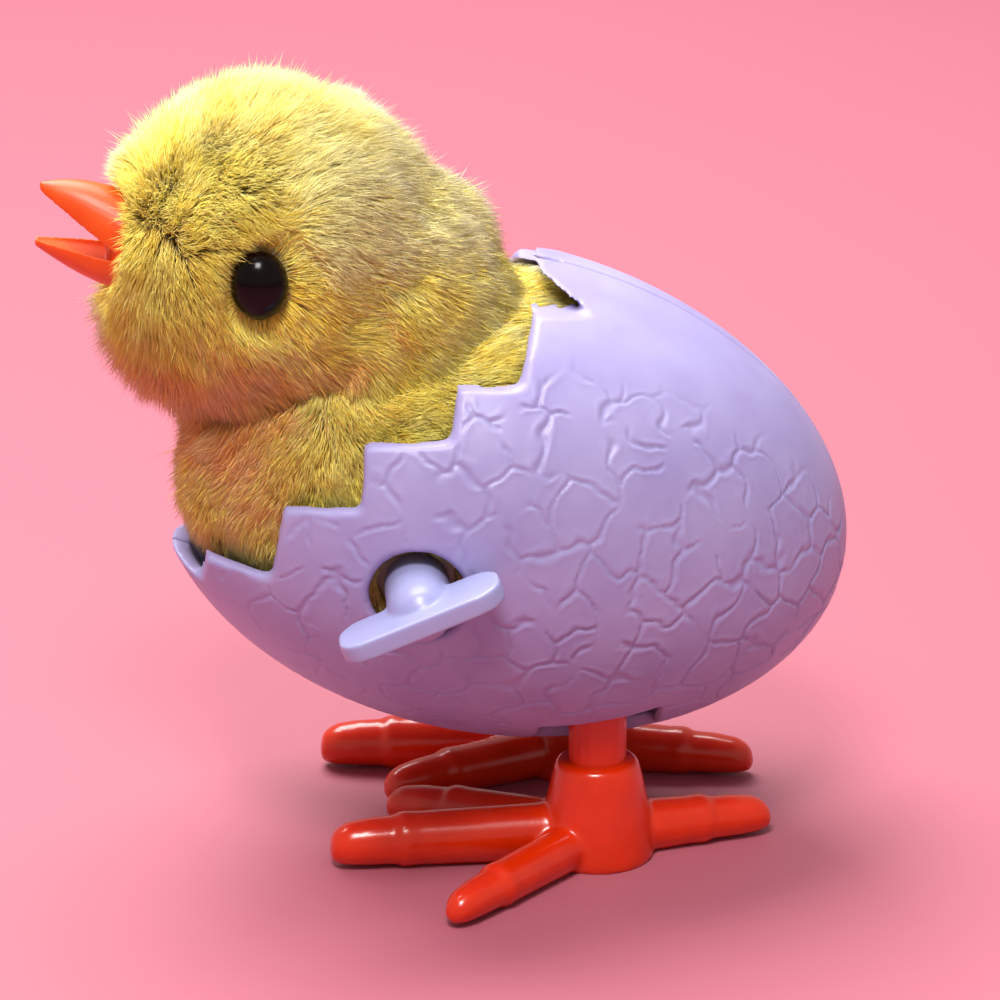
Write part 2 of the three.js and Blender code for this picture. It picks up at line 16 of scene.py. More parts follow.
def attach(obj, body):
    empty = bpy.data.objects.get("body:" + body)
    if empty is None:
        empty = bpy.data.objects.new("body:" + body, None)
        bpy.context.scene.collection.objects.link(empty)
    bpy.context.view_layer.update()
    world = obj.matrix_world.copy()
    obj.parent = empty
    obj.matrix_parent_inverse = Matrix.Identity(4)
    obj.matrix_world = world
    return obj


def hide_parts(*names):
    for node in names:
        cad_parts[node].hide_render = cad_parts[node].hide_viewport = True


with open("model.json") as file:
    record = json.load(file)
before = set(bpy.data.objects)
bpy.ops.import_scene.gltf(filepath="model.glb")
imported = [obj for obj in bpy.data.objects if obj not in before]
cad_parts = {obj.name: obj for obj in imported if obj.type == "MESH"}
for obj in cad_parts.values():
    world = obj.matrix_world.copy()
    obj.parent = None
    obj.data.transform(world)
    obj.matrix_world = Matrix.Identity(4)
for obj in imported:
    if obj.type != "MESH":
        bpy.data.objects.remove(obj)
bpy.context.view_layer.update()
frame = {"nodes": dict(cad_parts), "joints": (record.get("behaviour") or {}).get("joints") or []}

MM = 0.001
RNG = np.random.default_rng(7)

# ---------- the toy's layout, in millimetres ----------

EGG_HALF_LENGTH, EGG_RADIUS, EGG_TAPER = 31.9, 22.05, 0.041
EGG_TILT = radians(14.4)
EGG_CENTRE = np.array([0.0, 0.0, 31.4])
SHELL_WALL = 1.3
HEAD = EGG_CENTRE + (-20.2, 0, 22.9)
HEAD_RADIUS = 15.3
BODY_HALF_LENGTH, BODY_RADIUS = 29.7, 20.1
KEY = EGG_CENTRE + (-8.5, 0, -2.2)
KEY_ANGLE = radians(22)
LEG_X, LEG_Y = 8.0, 10.2
EYE_OFFSET = np.array([-1.4, 13.4, 1.0])  # from the head's centre, on the right side
BEAK_Z = EGG_CENTRE[2] + 24.0
BEAK_ROOT_X = -34.3
BEAK_ROOT = np.array([BEAK_ROOT_X, 0, BEAK_Z])
SIDES = {"left": -1, "right": 1}

joint = {j["name"]: j for j in frame["joints"]}
winding_at = Vector(joint["winding"]["pos_m"])
SHIFT = np.array([winding_at.x / MM - KEY[0], winding_at.y / MM, 0.0])


# ---------- mesh helpers ----------

def mesh_of(name, points, faces):
    mesh = bpy.data.meshes.new(name)
    mesh.from_pydata([tuple(p) for p in points], [], [tuple(f) for f in faces])
    mesh.validate()
    return mesh


def points_of(mesh):
    flat = np.empty(len(mesh.vertices) * 3)
    mesh.vertices.foreach_get("co", flat)
    return flat.reshape(-1, 3)


def set_points(mesh, points):
    mesh.vertices.foreach_set("co", np.ascontiguousarray(points, dtype=np.float32).ravel())
    mesh.update()


def edges_of(mesh):
    flat = np.empty(len(mesh.edges) * 2, dtype=np.int32)
    mesh.edges.foreach_get("vertices", flat)
    return flat.reshape(-1, 2)


def normals_of(mesh):
    flat = np.empty(len(mesh.vertices) * 3, dtype=np.float32)
    mesh.vertex_normals.foreach_get("vector", flat)
    return flat.reshape(-1, 3).astype(float)


def modified(mesh, kind, **settings):
    """The mesh with one modifier applied."""
    holder = bpy.data.objects.new("holder", mesh)
    bpy.context.scene.collection.objects.link(holder)
    modifier = holder.modifiers.new("m", kind)
    for key, value in settings.items():
        setattr(modifier, key, value)
    result = bpy.data.meshes.new_from_object(holder.evaluated_get(bpy.context.evaluated_depsgraph_get()))
    bpy.data.objects.remove(holder)
    return result


def remeshed(mesh, voxel):
    return modified(mesh, "REMESH", mode="VOXEL", voxel_size=voxel, adaptivity=0.0)


def joined(parts):
    """One mesh of several (points, faces) parts."""
    points, faces, start = [], [], 0
    for part_points, part_faces in parts:
        points.extend(part_points)
        faces.extend([[i + start for i in face] for face in part_faces])
        start += len(part_points)
    return points, faces


def neighbour_mean(values, edges):
    count = len(values)
    degree = np.maximum(np.bincount(edges.ravel(), minlength=count), 1)
    columns = values.reshape(count, -1)
    total = np.empty_like(columns)
    for i in range(columns.shape[1]):
        total[:, i] = np.bincount(edges[:, 0], columns[edges[:, 1], i], count)
        total[:, i] += np.bincount(edges[:, 1], columns[edges[:, 0], i], count)
    return (total / degree[:, None]).reshape(values.shape)


def relaxed(points, edges, weight, rounds):
    """Points moved towards the mean of their neighbours, by each point's weight."""
    for _ in range(rounds):
        points = points + weight[:, None] * (neighbour_mean(points, edges) - points)
    return points


def evened(mesh, weight, rounds):
    """The mesh's points, all relaxed alike."""
    return relaxed(points_of(mesh), edges_of(mesh), np.full(len(mesh.vertices), weight), rounds)


def finished(name, mesh, materials, body, nodes):
    """The mesh as a piece in the frame: it rides on a body and stands for the CAD nodes."""
    set_points(mesh, (points_of(mesh) + SHIFT) * MM)
    mesh.name = name
    mesh.shade_smooth()
    mesh.materials.clear()
    for each in materials if isinstance(materials, list) else [materials]:
        mesh.materials.append(each)
    piece = bpy.data.objects.new(name, mesh)
    bpy.context.scene.collection.objects.link(piece)
    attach(piece, body)
    if nodes:
        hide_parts(*nodes)
    return piece


def loft(rings):
    """A closed tube through rings of equally many points, with a flat end at each end."""
    count = len(rings[0])
    points = [p for ring in rings for p in ring]
    faces = [list(range(count))[::-1]]
    for i in range(len(rings) - 1):
        for k in range(count):
            a, b = i * count + k, i * count + (k + 1) % count
            faces.append([a, b, b + count, a + count])
    faces.append([(len(rings) - 1) * count + k for k in range(count)])
    return points, faces


def ball(centre, radii, sides=32):
    """A closed ellipsoid."""
    centre, radii = np.array(centre), np.array(radii)
    turns = [k * 2 * pi / sides for k in range(sides)]
    rings = []
    for i in range(1, sides // 2):
        t = pi * i / (sides // 2)
        rings.append([centre + radii * (sin(t) * cos(a), sin(t) * sin(a), -cos(t)) for a in turns])
    return loft(rings)


def smoothstep(value, low, high):
    t = np.clip((value - low) / (high - low), 0, 1)
    return t * t * (3 - 2 * t)


WAVE_COUNT = 9
WAVE_HEIGHT = 3.2  # about how high the summed waves reach


def waves(points, size, seed):
    """Smooth noise of about -1 to 1: a sum of sine waves in fixed random directions."""
    local = np.random.default_rng(seed)
    total = np.zeros(len(points))
    for _ in range(WAVE_COUNT):
        direction = local.normal(size=3)
        direction *= (2 * pi / size) * local.uniform(0.6, 1.5) / np.linalg.norm(direction)
        total += np.sin(points @ direction + local.uniform(0, 2 * pi))
    return total / WAVE_HEIGHT


def unit(vectors):
    return vectors / np.maximum(np.linalg.norm(vectors, axis=1), 1e-9)[:, None]


# ---------- materials ----------

def linear(code):
    """A six-digit sRGB colour as a linear RGBA."""
    parts = [int(code[i:i + 2], 16) / 255 for i in (0, 2, 4)]
    return [c / 12.92 if c <= 0.04045 else ((c + 0.055) / 1.055) ** 2.4 for c in parts] + [1.0]


def moulded(name, light, dark, rough, size=0.004, bump=0.2, bump_size=0.0004, metal=0.0, coat=0.0,
            specular=0.5, subsurface=0.0, subsurface_radius=(1, 0.4, 0.3), stretch=None):
    """Plastic or metal: two shades mixed by noise, uneven gloss and a fine surface grain."""
    material = bpy.data.materials.new(name)
    material.use_nodes = True
    nodes, links = material.node_tree.nodes, material.node_tree.links
    shader = nodes["Principled BSDF"]
    shader.inputs["Metallic"].default_value = metal
    shader.inputs["Specular IOR Level"].default_value = specular
    shader.inputs["Coat Weight"].default_value = coat
    shader.inputs["Coat Roughness"].default_value = 0.08
    if subsurface:
        shader.inputs["Subsurface Weight"].default_value = subsurface
        shader.inputs["Subsurface Radius"].default_value = subsurface_radius
        shader.inputs["Subsurface Scale"].default_value = 0.0015
    place = nodes.new("ShaderNodeTexCoord").outputs["Object"]
    if stretch:
        mapping = nodes.new("ShaderNodeMapping")
        mapping.inputs["Scale"].default_value = stretch
        links.new(place, mapping.inputs["Vector"])
        place = mapping.outputs["Vector"]

    def noise(feature, detail):
        node = nodes.new("ShaderNodeTexNoise")
        node.inputs["Scale"].default_value = 1 / feature
        node.inputs["Detail"].default_value = detail
        links.new(place, node.inputs["Vector"])
        return node.outputs["Fac"]

    mottle = noise(size, 4)
    ramp = nodes.new("ShaderNodeValToRGB")
    ramp.color_ramp.elements[0].position = 0.3
    ramp.color_ramp.elements[1].position = 0.7
    ramp.color_ramp.elements[0].color = linear(dark)
    ramp.color_ramp.elements[1].color = linear(light)
    links.new(mottle, ramp.inputs["Fac"])
    links.new(ramp.outputs["Color"], shader.inputs["Base Color"])
    spread = nodes.new("ShaderNodeMapRange")
    spread.inputs["To Min"].default_value = rough * 0.8
    spread.inputs["To Max"].default_value = rough * 1.2
    links.new(mottle, spread.inputs["Value"])
    links.new(spread.outputs["Result"], shader.inputs["Roughness"])
    if bump:
        grain = nodes.new("ShaderNodeBump")
        grain.inputs["Strength"].default_value = bump
        grain.inputs["Distance"].default_value = bump_size * 0.1
        links.new(noise(bump_size, 3), grain.inputs["Height"])
        links.new(grain.outputs["Normal"], shader.inputs["Normal"])
    return material


def pile(name, code):
    """One shade of the plush's fibres. The pile's colour varies from strand to strand."""
    material = bpy.data.materials.new(name)
    material.use_nodes = True
    shader = material.node_tree.nodes["Principled BSDF"]
    shader.inputs["Base Color"].default_value = linear(code)
    shader.inputs["Roughness"].default_value = 0.75
    shader.inputs["Specular IOR Level"].default_value = 0.1
    shader.inputs["Sheen Weight"].default_value = 0.5
    shader.inputs["Sheen Roughness"].default_value = 0.5
    return material


SHELL = moulded("shell_lavender", "a39cca", "9990c2", 0.42, size=0.006, subsurface=0.15,
                subsurface_radius=(0.9, 0.7, 1.0))
KEY_PLASTIC = moulded("key_lavender", "a0a2ce", "999bc8", 0.34, size=0.004, subsurface=0.2,
                      subsurface_radius=(0.9, 0.8, 1.0))
FOOT = moulded("foot_orange", "e03000", "d02800", 0.24, size=0.004, subsurface=0.25, coat=0.15,
               subsurface_radius=(1.0, 0.25, 0.08))
BEAK = moulded("beak_orange", "e65402", "dc4800", 0.42, size=0.003, subsurface=0.2,
               subsurface_radius=(1.0, 0.4, 0.1))
EYE = moulded("eye_black", "0c0506", "080304", 0.16, bump=0, specular=0.18)
BACKING = moulded("plush_backing", "e0c058", "c9a040", 0.9, size=0.002, bump=0.8, bump_size=0.0005)
CORE = moulded("core_milky", "e8e4da", "ddd8cc", 0.5)
CASE = moulded("case_grey", "c9ccd0", "bcc0c5", 0.5)
STEEL = moulded("steel_drawn", "c8ccd0", "aeb3b8", 0.3, size=0.0006, metal=1.0, stretch=(1, 0.1, 1))
SPRING = moulded("steel_blued", "7d93ab", "55677c", 0.28, size=0.0008, metal=1.0, stretch=(1, 0.1, 1))
AMBER = moulded("gear_amber", "dfae52", "cf9c40", 0.45)
WHITE = moulded("gear_white", "f0ede6", "e4e0d6", 0.45)

CAD_MATERIALS = {
    "body_core_left": CORE, "body_core_right": CORE, "motor_case_left": CASE, "motor_case_right": CASE,
    "middle_plate": STEEL, "case_screw_1": STEEL, "case_screw_2": STEEL, "case_screw_3": STEEL,
    "idler_pin": STEEL, "mainspring": SPRING, "winding_shaft": STEEL, "main_gear": AMBER,
    "idler_gear": WHITE, "crank_shaft": STEEL, "crank_pinion": WHITE, "crank_left": WHITE,
    "crank_right": WHITE, "leg_axle": STEEL, "leg_left": FOOT, "leg_right": FOOT,
}
for node_name, node_material in CAD_MATERIALS.items():
    node_mesh = frame["nodes"][node_name].data
    node_mesh.materials.clear()
    node_mesh.materials.append(node_material)


# ---------- the egg's surface ----------

def into_egg(points):
    """Points from the layout into the egg's own axes: its long axis, across, and up."""
    p = points - EGG_CENTRE
    c, s = cos(EGG_TILT), sin(EGG_TILT)
    return np.stack([p[:, 0] * c - p[:, 2] * s, p[:, 1], p[:, 0] * s + p[:, 2] * c], axis=1)


def out_of_egg(q):
    c, s = cos(EGG_TILT), sin(EGG_TILT)
    return np.stack([q[:, 0] * c + q[:, 2] * s, q[:, 1], q[:, 2] * c - q[:, 0] * s], axis=1) + EGG_CENTRE


def egg_reach(q, half_length, radius):
    """How far the surface is from the egg's centre in each point's direction."""
    across = np.hypot(q[:, 1], q[:, 2])
    width = np.full(len(q), radius)
    for _ in range(5):
        t = np.arctan2(across * half_length, q[:, 0] * width)
        width = radius * (1 - EGG_TAPER * np.cos(t))
    return np.hypot(half_length * np.cos(t), width * np.sin(t))


# ---------- egg shell ----------

SHELL_VOXEL = 0.22
SNAP_OUTER, SNAP_INNER = 0.2, 0.28  # how near the true surface a point is taken to belong to it
CRACK_DEPTH = 0.17
CRACK_WIDTH = 0.2
CRACK_SPACING, CRACK_SPREAD = 2.5, 1.6


def crack_cells():
    """The centres of the cells between the cracks, kept apart by an uneven spacing."""
    local = np.random.default_rng(21)
    seeds = out_of_egg(unit(local.normal(size=(3000, 3))) * (EGG_HALF_LENGTH, EGG_RADIUS, EGG_RADIUS))
    kept = []
    for seed in seeds:
        spacing = CRACK_SPACING + CRACK_SPREAD * local.random()
        if all(np.linalg.norm(seed - other) > spacing for other in kept):
            kept.append(seed)
    return np.array(kept)


def crackle(points):
    """Depth of the moulded cracks at points on the shell: closed cells with bent, broken lines between."""
    cells = crack_cells()
    bent = points.copy()
    for axis in range(3):
        bent[:, axis] += 0.6 * waves(points, 4.6, 30 + axis) + 0.16 * waves(points, 1.7, 40 + axis)
    depth = np.zeros(len(points))
    batch = 20000
    for start in range(0, len(points), batch):
        part = bent[start:start + batch]
        distance = np.linalg.norm(part[:, None, :] - cells[None, :, :], axis=2)
        nearest = np.argpartition(distance, 2, axis=1)[:, :2]
        rows = np.arange(len(part))
        one, two = distance[rows, nearest[:, 0]], distance[rows, nearest[:, 1]]
        apart = np.linalg.norm(cells[nearest[:, 0]] - cells[nearest[:, 1]], axis=1)
        edge = np.abs(two ** 2 - one ** 2) / (2 * apart)
        raised_lip = 0.3 * np.exp(-((edge - 0.5) / 0.28) ** 2)
        depth[start:start + batch] = np.exp(-(edge / CRACK_WIDTH) ** 2) - raised_lip
    broken = smoothstep(waves(points, 5.0, 51) + 0.6, -0.25, 0.35)
    return depth * broken


def edge_bands(on_surface, edges):
    """1 on the shell's broken and cut edges, fading over a narrow band and over a wide one."""
    narrow = (~on_surface).astype(float)
    for _ in range(6):
        narrow = np.maximum(narrow, 1.28 * neighbour_mean(narrow, edges))
    narrow = np.clip(narrow, 0, 1)
    wide = narrow.copy()
    for _ in range(9):
        wide = np.maximum(wide, np.clip(neighbour_mean(wide, edges) * 1.15, 0, 1))
    return narrow, wide


def seam_hold(points):
    """1 along the seam between the halves, which stays sharp, except at the rear tooth."""
    hold = 1 - smoothstep(np.abs(points[:, 1]), 0.3, 0.9)
    hold[(np.abs(points[:, 0]) < 5.5) & (points[:, 2] > EGG_CENTRE[2] + 15)] = 0
    return hold


def crack_share(q):
    """How deep the cracks are in each part of the shell: none on top, and shallow underneath and in front."""
    around = np.degrees(np.arctan2(q[:, 2], np.abs(q[:, 1])))
    share = (1 - smoothstep(around, 40, 56)) * (0.25 + 0.75 * smoothstep(around, -62, -30))
    return share * (smoothstep(q[:, 0], -24, -14) * 0.6 + 0.4)


def shell_piece(name, node):
    """A shell half: the CAD half with true curves, moulded cracks and softened edges."""
    blank = frame["nodes"][node].data.copy()
    set_points(blank, points_of(blank) / MM - SHIFT)
    mesh = remeshed(blank, SHELL_VOXEL)
    edges = edges_of(mesh)
    q = into_egg(points_of(mesh))
    far = np.linalg.norm(q, axis=1)
    outer = egg_reach(q, EGG_HALF_LENGTH, EGG_RADIUS)
    inner = egg_reach(q, EGG_HALF_LENGTH - SHELL_WALL, EGG_RADIUS - SHELL_WALL)
    on_outer = np.abs(outer - far) < SNAP_OUTER
    on_inner = np.abs(inner - far) < SNAP_INNER
    q[on_outer] *= (outer / far)[on_outer, None]
    q[on_inner] *= (inner / far)[on_inner, None]
    points = out_of_egg(q)
    near_edge, plain_band = edge_bands(on_outer | on_inner, edges)
    points = relaxed(points, edges, 0.6 * near_edge * (1 - 0.8 * seam_hold(points)), 24)
    q = into_egg(points)
    shown = crack_share(q) * on_outer * (1 - plain_band)
    cracked = np.flatnonzero(shown > 0.01)
    lift = np.zeros(len(points))
    lift[cracked] = -CRACK_DEPTH * crackle(points[cracked]) * shown[cracked]
    outward = unit(q / (EGG_HALF_LENGTH ** 2, EGG_RADIUS ** 2, EGG_RADIUS ** 2))
    points = points + (out_of_egg(outward) - EGG_CENTRE) * lift[:, None]
    set_points(mesh, points)
    return finished(name, mesh, SHELL, "chick", [node])


for side_name in SIDES:
    shell_piece(f"shell_{side_name}", f"egg_shell_{side_name}")


# ---------- plush: the sewn skin ----------

SKIN_INSET = 2.3
SKIN_THICKNESS = 0.35
SKIN_VOXEL = 0.7
LEG_OPENING = (8.2, 13.8)  # half the opening for both legs, along and across
LEG_OPENING_TOP = EGG_CENTRE[2] - 8
KEY_OPENING, BEAK_OPENING, EYE_OPENING = 3.6, 4.3, 1.5


def body_form(inset, sides=48, steps=28):
    """The chick's body under the pile as an egg of its own."""
    rings = []
    for i in range(1, steps):
        t = pi * i / steps
        width = (BODY_RADIUS - inset) * sin(t) * (1 - EGG_TAPER * cos(t))
        q = np.array([[(BODY_HALF_LENGTH - inset) * cos(t), width * sin(a), width * cos(a)]
                      for a in np.linspace(0, 2 * pi, sides, endpoint=False)])
        rings.append(list(out_of_egg(q)))
    return loft(rings)


skin_parts = [
    body_form(SKIN_INSET),
    ball(HEAD, [HEAD_RADIUS - SKIN_INSET] * 3, 48),
    ball(EGG_CENTRE + (-10.5, 0, 16.3), (10.0, 11.5, 10.0), 40),
    ball(EGG_CENTRE + (-11, 0, 21), (8.3, 9.0, 8.3), 40),
]
skin_mesh = remeshed(mesh_of("skin", *joined(skin_parts)), SKIN_VOXEL)
set_points(skin_mesh, evened(skin_mesh, 0.5, 10))


def in_opening(place):
    """Whether the skin is cut away there, for the legs, the key, the beak or an eye."""
    x, y, z = place
    eye_x, eye_z = HEAD[0] + EYE_OFFSET[0], HEAD[2] + EYE_OFFSET[2]
    at_legs = abs(x - LEG_X) < LEG_OPENING[0] and abs(y) < LEG_OPENING[1] and z < LEG_OPENING_TOP
    at_key = y < 0 and hypot(x - KEY[0], z - KEY[2]) < KEY_OPENING
    at_beak = x < HEAD[0] and hypot(y, z - BEAK_Z) < BEAK_OPENING
    at_eye = hypot(x - eye_x, z - eye_z) < EYE_OPENING
    return at_legs or at_key or at_beak or at_eye


opened = bmesh.new()
opened.from_mesh(skin_mesh)
cut_away = [face for face in opened.faces if in_opening(face.calc_center_median())]
bmesh.ops.delete(opened, geom=cut_away, context="FACES")
bmesh.ops.recalc_face_normals(opened, faces=opened.faces)
opened.to_mesh(skin_mesh)
opened.free()
fur_base = skin_mesh.copy()
skin_mesh = modified(skin_mesh, "SOLIDIFY", thickness=SKIN_THICKNESS, offset=-1.0, use_even_offset=True)
skin = finished("plush_skin", skin_mesh, BACKING, "chick", ["plush_cover"])


# ---------- plush: the pile ----------

# Six steps of each colour, from light to dark, for pale, yellow and orange pile. Strands pick them for their
# own uneven tone, and also for painted shade at the roots and on the crown, and for painted light on the tips
# and the back of the head.
PALES = ["fff4a4", "fff08e", "ffe97a", "fcde66", "f5d054", "eac042"]
YELLOWS = ["fff17c", "ffe85e", "ffdd42", "fbce2e", "f2bc20", "e2a618"]
ORANGES = ["ffd484", "ffc662", "ffb846", "fca834", "f39626", "e4821a"]
PILE = [pile(f"pile_{family}_{i}", code)
        for family, shades in (("pale", PALES), ("yellow", YELLOWS), ("orange", ORANGES))
        for i, code in enumerate(shades)]
STRANDS_PER_MM2 = 66
STRAND_RADIUS = 0.055
STRAND_STEPS = 3
STRAND_TAPER = (1.0, 0.92, 0.66)
STRAND_FLATNESS = 0.6
LOCKS = ((1.9, 0.32), (0.75, 0.34))  # spacing and strength of the large locks, then of the small ones
LOCK_WIDTH = 0.12  # how much of their distance at the root a lock's strands keep at the tip
MIDDLE_PULL = 0.32  # how much of its tip's pull into a lock a strand's middle takes
STRAY_SHARE = 0.07
MIDDLE_JITTER, TIP_JITTER, STRAY_JITTER = 0.1, 0.22, 0.7
STEEPEST_LEAN = 78
EYE_CLEARANCE = (2.45, 2.2, 3.0)
KEY_CLEARANCE = 3.3
PIECE_STRANDS = 12000


def scattered(mesh, density):
    """Random points on the mesh's faces, with the surface's smooth normals."""
    mesh.calc_loop_triangles()
    corners = np.empty(len(mesh.loop_triangles) * 3, dtype=np.int32)
    mesh.loop_triangles.foreach_get("vertices", corners)
    corners = corners.reshape(-1, 3)
    points, normals = points_of(mesh), normals_of(mesh)
    a, b, c = (points[corners[:, i]] for i in range(3))
    areas = np.linalg.norm(np.cross(b - a, c - a), axis=1) / 2
    count = int(areas.sum() * density)
    chosen = RNG.choice(len(areas), count, p=areas / areas.sum())
    u, v = RNG.random(count), RNG.random(count)
    over = u + v > 1
    u[over], v[over] = 1 - u[over], 1 - v[over]
    w = 1 - u - v
    roots = a[chosen] * w[:, None] + b[chosen] * u[:, None] + c[chosen] * v[:, None]
    tri = corners[chosen]
    return roots, unit(normals[tri[:, 0]] * w[:, None] + normals[tri[:, 1]] * u[:, None]
                       + normals[tri[:, 2]] * v[:, None])


# The shell's broken rim from the side: along the toy, and height over the egg's centre.
RIM = np.array([(-31.0, -3.2), (-27.0, -4.9), (-26.6, -1.5), (-21.0, -1.8), (-19.9, 5.0), (-13.3, 5.5),
                (-13.0, 10.8), (-5.6, 11.2), (-4.9, 15.1), (0.5, 14.9), (2.2, 19.5), (7.6, 18.8)])
REAR_TOOTH_X = 2.3
TOOTH_PILE_Z = EGG_CENTRE[2] + 12
COVERED = -20  # the height given to what the rear tooth covers


def above_rim(points):
    """Height over the shell's broken rim. The rear tooth covers what is behind its end."""
    height = points[:, 2] - np.interp(points[:, 0], RIM[:, 0], RIM[:, 1] + EGG_CENTRE[2])
    return np.where(points[:, 0] > REAR_TOOTH_X, COVERED, height)


def pile_roots():
    """Where the strands grow: wherever the skin can be seen past the shell, its notches and the key."""
    roots, normals = scattered(fur_base, STRANDS_PER_MM2)
    at_key = (roots[:, 1] < -8) & (np.hypot(roots[:, 0] - KEY[0], roots[:, 2] - KEY[2]) < 7)
    under_tooth = (roots[:, 0] < 11) & (roots[:, 2] > TOOTH_PILE_Z)
    seen = (above_rim(roots) > -5.0) | at_key | under_tooth
    return roots[seen], normals[seen]


def on_head(points):
    """1 on the head, 0 on the body, by how much nearer each is."""
    to_head = np.linalg.norm(points - HEAD, axis=1) - (HEAD_RADIUS - SKIN_INSET)
    q = into_egg(points)
    reach = egg_reach(q, BODY_HALF_LENGTH - SKIN_INSET, BODY_RADIUS - SKIN_INSET)
    to_body = np.linalg.norm(q, axis=1) - reach
    return smoothstep(to_body - to_head, -1.0, 2.0)


def nearer_eye(points):
    """The centre of the eye on each point's side."""
    return HEAD + EYE_OFFSET * np.stack([np.ones(len(points)), np.sign(points[:, 1]), np.ones(len(points))],
                                        axis=1)


def combing(points, normals):
    """Direction along the skin in which the pile lies, and how near each point is to an eye."""
    right = np.sign(points[:, 1])
    away = unit(points - BEAK_ROOT)
    from_beak = np.linalg.norm(points - BEAK_ROOT, axis=1)
    away[:, 2] -= 0.3 + 0.6 * (1 - smoothstep(from_beak, 6, 13))
    chest = 1 - smoothstep(points[:, 0], -20, -8)
    down = np.stack([0.9 - 1.0 * chest, 0.15 * right, -0.45 - 0.6 * chest], axis=1)
    head = on_head(points)[:, None]
    flow = away * head + down * (1 - head)
    for axis in range(3):
        flow[:, axis] += 0.3 * waves(points, 9.0, 60 + axis) + 0.16 * waves(points, 3.5, 70 + axis)
    from_eye = points - nearer_eye(points)
    near_eye = (1 - smoothstep(np.linalg.norm(from_eye, axis=1), 2.5, 5.5))[:, None]
    flow = flow * (1 - near_eye) + unit(from_eye) * near_eye
    flow -= (flow * normals).sum(1)[:, None] * normals
    return unit(flow), near_eye[:, 0]


def strand_tips(roots, normals, length, lean):
    """Middle and tip of each strand: it rises from the skin and bends over along the combing."""
    comb, near_eye = combing(roots, normals)
    comb = unit(comb + 0.18 * RNG.normal(size=comb.shape))
    comb = unit(comb - (comb * normals).sum(1)[:, None] * normals)
    lean = np.minimum(lean + 25 * near_eye, STEEPEST_LEAN)
    length = length * (1 - 0.45 * near_eye)
    angle = np.radians(lean)[:, None]
    rise = normals * np.cos(angle * 0.75) + comb * np.sin(angle * 0.75)
    fall = normals * np.cos(angle * 1.25) + comb * np.sin(angle * 1.25)
    middle = roots + rise * (length * 0.5)[:, None]
    return middle, middle + fall * (length * 0.5)[:, None]


def pile_shape(roots, normals):
    """Lengths in millimetres and leans from upright in degrees."""
    head = on_head(roots)
    crown = head * smoothstep(roots[:, 2], HEAD[2] + 4, HEAD[2] + 11) * smoothstep(roots[:, 0], -30, -22)
    face = head * (1 - smoothstep(roots[:, 0], HEAD[0] - 9, HEAD[0] - 3))
    face *= 1 - smoothstep(roots[:, 2], HEAD[2], HEAD[2] + 5)
    near_middle = 1 - smoothstep(np.abs(roots[:, 1]), 2.5, 6)
    length = 4.2 + 0.45 * waves(roots, 8, 81) - 0.4 * crown + 1.3 * face
    lean = 54 - 12 * crown - 4 * head - 14 * face * near_middle + 6 * waves(roots, 6, 82)
    from_beak = np.linalg.norm(roots - BEAK_ROOT, axis=1)
    lean -= 18 * (1 - smoothstep(from_beak, 6, 12)) * near_middle
    length = length * (0.8 + 0.2 * smoothstep(from_beak, 4.5, 8))
    under_tooth = (roots[:, 0] > 0) & (roots[:, 2] > TOOTH_PILE_Z)
    length = length * np.where(under_tooth, 1.25, np.where(above_rim(roots) < 0, 0.8, 1.0))
    return length, lean


def inside_shell(points):
    """Points pressed in where the shell covers them, so that the pile stays inside it."""
    q = into_egg(points)
    far = np.linalg.norm(q, axis=1)
    depth = SHELL_WALL + 0.35
    limit = egg_reach(q, EGG_HALF_LENGTH - depth, EGG_RADIUS - depth)
    covered = 1 - smoothstep(above_rim(points), 0.6, 2.6)
    scale = np.where(far > limit, limit / far, 1.0)
    scale = 1 - (1 - scale) * covered
    return out_of_egg(q * scale[:, None])


def lock_goals(roots, guide_roots, guide_tips):
    """Where each strand's tip would join its nearest guide's tip in a lock, and which guide that is."""
    tree = kdtree.KDTree(len(guide_roots))
    for i, p in enumerate(guide_roots):
        tree.insert(p, i)
    tree.balance()
    nearest = np.array([tree.find(p)[1] for p in roots])
    return guide_tips[nearest] + (roots - guide_roots[nearest]) * LOCK_WIDTH, nearest


roots, normals = pile_roots()
length, lean = pile_shape(roots, normals)
count = len(roots)
length *= RNG.uniform(0.72, 1.12, count)
lean += RNG.normal(0, 7, count)
middles, tips = strand_tips(roots, normals, length, lean)
for spacing, strength in LOCKS:
    guides = RNG.permutation(count)[:int(count / (STRANDS_PER_MM2 * spacing ** 2))]
    vary = strength * RNG.uniform(0.35, 1.25, len(guides))
    goals, lock = lock_goals(roots, roots[guides], tips[guides])
    pull = (goals - tips) * (vary[lock] * RNG.uniform(0.6, 1.1, count))[:, None]
    middles = middles + pull * MIDDLE_PULL
    tips = tips + pull
    lock_shade = RNG.normal(0, 1, len(guides))[lock]
stray = RNG.random(count) < STRAY_SHARE
tips += RNG.normal(0, TIP_JITTER, tips.shape) + stray[:, None] * RNG.normal(0, STRAY_JITTER, tips.shape)
middles += RNG.normal(0, MIDDLE_JITTER, tips.shape)
middles, tips = inside_shell(middles), inside_shell(tips)


def clear_of_hard_pieces(points):
    """Which points keep off the eyes, the beak and the key."""
    off_eye = np.linalg.norm((points - nearer_eye(points)) / EYE_CLEARANCE, axis=1) > 1
    ahead = np.clip((BEAK_ROOT_X - points[:, 0]) / 6.5, -0.2, 1)
    off_beak = np.hypot(points[:, 1], points[:, 2] - BEAK_Z) > 4.1 * (1 - ahead) + 0.2
    off_beak |= points[:, 0] > BEAK_ROOT_X + 1
    off_key = np.hypot(points[:, 0] - KEY[0], points[:, 2] - KEY[2]) > KEY_CLEARANCE
    off_key |= points[:, 1] > -10
    return off_eye & off_beak & off_key


